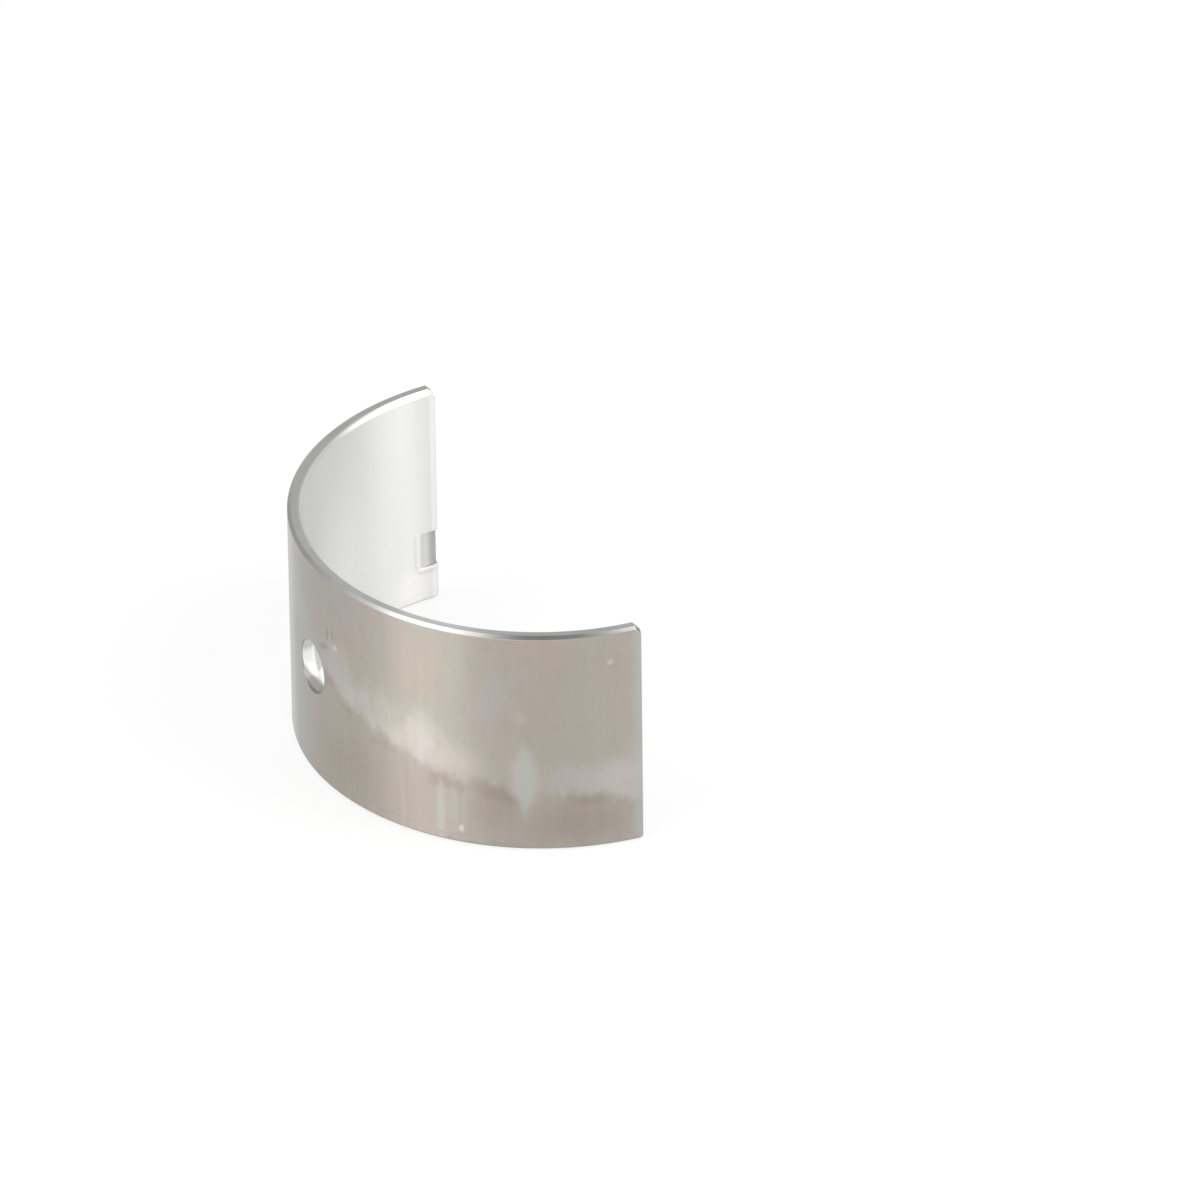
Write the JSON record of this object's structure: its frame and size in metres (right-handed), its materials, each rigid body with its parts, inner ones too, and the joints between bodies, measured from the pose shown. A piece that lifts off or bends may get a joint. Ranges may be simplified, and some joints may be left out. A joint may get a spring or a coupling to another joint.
{
  "type": "engine bearing shell",
  "caption": "Half-round plain bearing shell with a chamfered oil hole at its crown and a locating tang at one joint face; lines a housing bore to carry a crankpin.",
  "frame": {"origin": "on the bearing axis, level with the lower end face", "axes": "+Z along the bearing axis, up; -Y through the crown and the oil hole; -X towards the joint face with the tang"},
  "size_m": [0.0663, 0.0317, 0.0322],
  "materials": {
    "bearing_metal": "satin rolled back with faint brown and grey stains, smooth pale lining"
  },
  "bodies": {
    "root": {"bearing_shell": "bearing_metal"}
  },
  "joints": []
}
